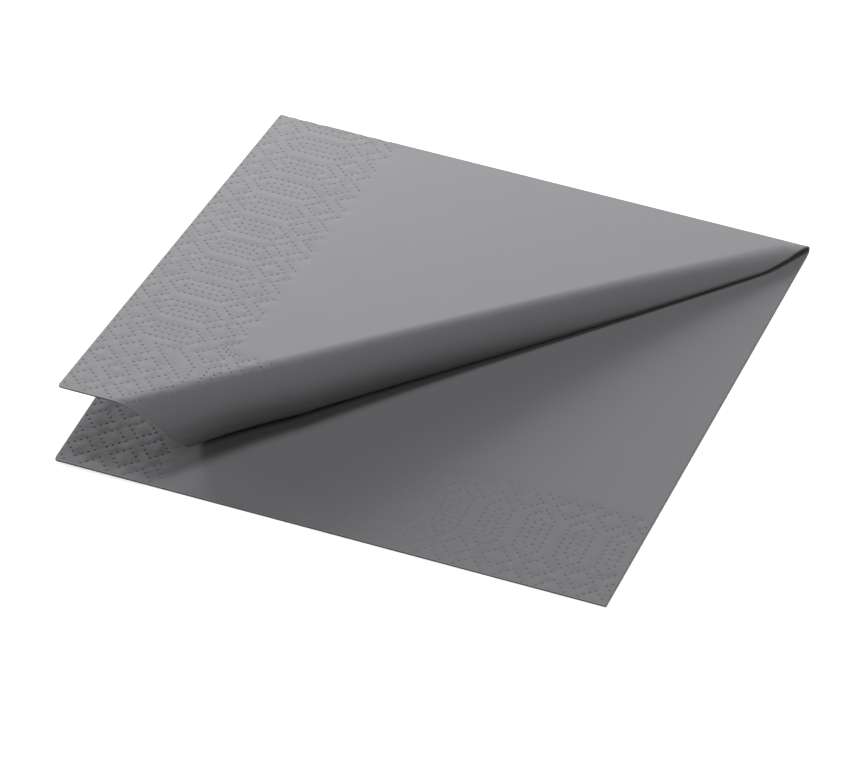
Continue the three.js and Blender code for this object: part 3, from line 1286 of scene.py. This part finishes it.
@dataclass(frozen=True)
class PaperFinish:
    """Soft dyed tissue paper, with a colour where its fibre is thin, thick or loose.

    Args:
        name: The material's name.
        lint_reach: How far the loosened fibres reach in from a cut edge.
    """

    name: str
    lint_reach: float = 0.5 * MM
    thin: Colour = (0.158, 0.158, 0.165)
    thick: Colour = (0.172, 0.172, 0.179)
    lint: Colour = (0.2, 0.2, 0.207)
    fibre_height: float = 0.02 * MM
    roughness: float = 0.93
    specular: float = 0.25

    def material(self) -> bpy.types.Material:
        """Builds the paper's material.

        Returns:
            The material.
        """
        material = bpy.data.materials.new(self.name)
        material.use_nodes = True
        tree = material.node_tree
        place = add_node(tree, "Attribute", {}, attribute_name=MARKS).outputs["Vector"]
        fibre = add_node(tree, "Group", {}, node_tree=TissueFibre().group())
        lint = add_node(tree, "Group", {}, node_tree=EdgeLint().group())
        lint.inputs["Reach"].default_value = self.lint_reach
        for effect in (fibre, lint):
            tree.links.new(place, effect.inputs["Place"])
        thin, thick, loose = ((*colour, 1.0) for colour in (self.thin, self.thick, self.lint))
        felt = add_node(
            tree, "Mix", {"Factor": fibre.outputs["Tone"], "A": thin, "B": thick}, data_type="RGBA")
        paper = {"Factor": lint.outputs["Mask"], "A": felt.outputs["Result"], "B": loose}
        edged = add_node(tree, "Mix", paper, data_type="RGBA")
        felted = {"Distance": self.fibre_height, "Height": fibre.outputs["Height"]}
        shader = tree.nodes["Principled BSDF"]
        shader.inputs["Roughness"].default_value = self.roughness
        shader.inputs["Specular IOR Level"].default_value = self.specular
        tree.links.new(edged.outputs["Result"], shader.inputs["Base Color"])
        tree.links.new(add_node(tree, "Bump", felted).outputs["Normal"], shader.inputs["Normal"])
        return material


@dataclass(frozen=True)
class TableTop:
    """The plain pale surface that the napkin lies on."""

    reach: float = 4.0
    clearance: float = 0.1 * MM
    colour: Colour = (0.9, 0.9, 0.9)
    roughness: float = 1.0
    glow: float = 0.45

    def build(self) -> bpy.types.Object:
        """Builds the table top, with a glow that only the camera sees, as part of the stage.

        Returns:
            The finished object.
        """
        mesh = bpy.data.meshes.new("table_top")
        r, z = self.reach, -self.clearance
        mesh.from_pydata([(-r, -r, z), (r, -r, z), (r, r, z), (-r, r, z)], [], [(0, 1, 2, 3)])
        top = bpy.data.objects.new("table_top", mesh)
        bpy.context.scene.collection.objects.link(top)
        material = bpy.data.materials.new("pale table top")
        material.use_nodes = True
        tree = material.node_tree
        shader = tree.nodes["Principled BSDF"]
        shader.inputs["Base Color"].default_value = (*self.colour, 1.0)
        shader.inputs["Roughness"].default_value = self.roughness
        shader.inputs["Emission Color"].default_value = WHITE
        seen = add_node(tree, "LightPath", {}).outputs["Is Camera Ray"]
        glow = calculate(tree, "MULTIPLY", seen, self.glow)
        tree.links.new(glow, shader.inputs["Emission Strength"])
        mesh.materials.append(material)
        return top


def stand(data: bpy.types.ID, target: Vector, azimuth: float, elevation: float,
          distance: float) -> bpy.types.Object:
    """Stands a camera or a lamp off a target and points it there.

    Args:
        data: The camera or lamp.
        target: What it points at.
        azimuth: Where it stands, with 0 in front of the napkin and 90 on its right.
        elevation: Its height above the table, as an angle.
        distance: Its distance from the target.

    Returns:
        The object, named as its data.
    """
    turn, rise = math.radians(azimuth), math.radians(elevation)
    back = Vector((math.sin(turn) * math.cos(rise), -math.cos(turn) * math.cos(rise), math.sin(rise)))
    made = bpy.data.objects.new(data.name, data)
    bpy.context.scene.collection.objects.link(made)
    made.location = target + back * distance
    made.rotation_mode = "QUATERNION"
    made.rotation_quaternion = (-back).to_track_quat("-Z", "Y")
    return made


@dataclass(frozen=True)
class PhotoCamera:
    """The camera, at the photograph's viewing angle. Its picture is 852 by 759 pixels."""

    target: tuple[float, float, float] = (0.917 * MM, -11.433 * MM, 0.0)
    azimuth: float = 21.8495
    elevation: float = 40.2811
    distance: float = 2.204587
    picture_width: float = 852.0
    focal_pixels: float = 7800.0
    sensor: float = 36.0
    farthest: float = 50.0

    def build(self) -> bpy.types.Object:
        """Makes the camera and gives it to the scene.

        Returns:
            The finished object.
        """
        data = bpy.data.cameras.new("photo_camera")
        data.sensor_width = self.sensor
        data.sensor_fit = "HORIZONTAL"
        data.lens = self.sensor * self.focal_pixels / self.picture_width
        data.clip_end = self.farthest
        camera = stand(data, Vector(self.target), self.azimuth, self.elevation, self.distance)
        bpy.context.scene.camera = camera
        return camera


@dataclass(frozen=True)
class SoftLight:
    """One square lamp that points at the napkin, with its place in angles, its power and its side."""

    name: str
    azimuth: float
    elevation: float
    watts: float
    size: float = 0.7
    distance: float = 2.0

    def build(self) -> bpy.types.Object:
        """Makes the lamp and points it at the napkin.

        Returns:
            The finished object.
        """
        data = bpy.data.lights.new(self.name, "AREA")
        data.shape = "SQUARE"
        data.size = self.size
        data.energy = self.watts
        return stand(data, Vector(), self.azimuth, self.elevation, self.distance)


STUDIO_LAMPS = (
    SoftLight("back lamp", azimuth=180.0, elevation=10.0, watts=29.0),
    SoftLight("back left lamp", azimuth=210.0, elevation=10.0, watts=41.0),
    SoftLight("near left lamp", azimuth=225.0, elevation=12.0, size=0.3, watts=5.2, distance=0.6),
    SoftLight("left lamp", azimuth=270.0, elevation=10.0, watts=9.0),
    SoftLight("right lamp", azimuth=75.0, elevation=50.0, watts=7.2),
    SoftLight("top lamp", azimuth=0.0, elevation=90.0, watts=19.5),
)


@dataclass(frozen=True)
class RoomLight:
    """An even white light from all round."""

    strength: float = 0.02

    def build(self) -> bpy.types.World:
        """Makes the light and gives it to the scene.

        Returns:
            The world that holds it.
        """
        world = bpy.data.worlds.new("studio")
        world.use_nodes = True
        background = world.node_tree.nodes["Background"]
        background.inputs["Color"].default_value = WHITE
        background.inputs["Strength"].default_value = self.strength
        bpy.context.scene.world = world
        return world


def main() -> None:
    """Builds the camera, stage, lights and napkin, and hands the napkin to the frame."""
    logging.basicConfig(level=logging.INFO)
    bpy.context.scene.view_settings.view_transform = "Standard"
    for piece in (PhotoCamera(), TableTop(), *STUDIO_LAMPS, RoomLight()):
        log.info("%s: built", piece.build().name)
    napkin_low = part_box("napkin")[0]
    size = SheetSize(side=-2.0 * napkin_low[0])
    finishes = {
        Finish.SURFACE: PaperFinish("napkin paper").material(),
        Finish.CUT_EDGE: PaperFinish("napkin cut edge", lint_reach=1.0 * MM).material(),
    }
    sheet = NapkinSheet(size).build(finishes)
    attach(sheet, "root")
    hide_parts("napkin")


if __name__ == "__main__":
    main()
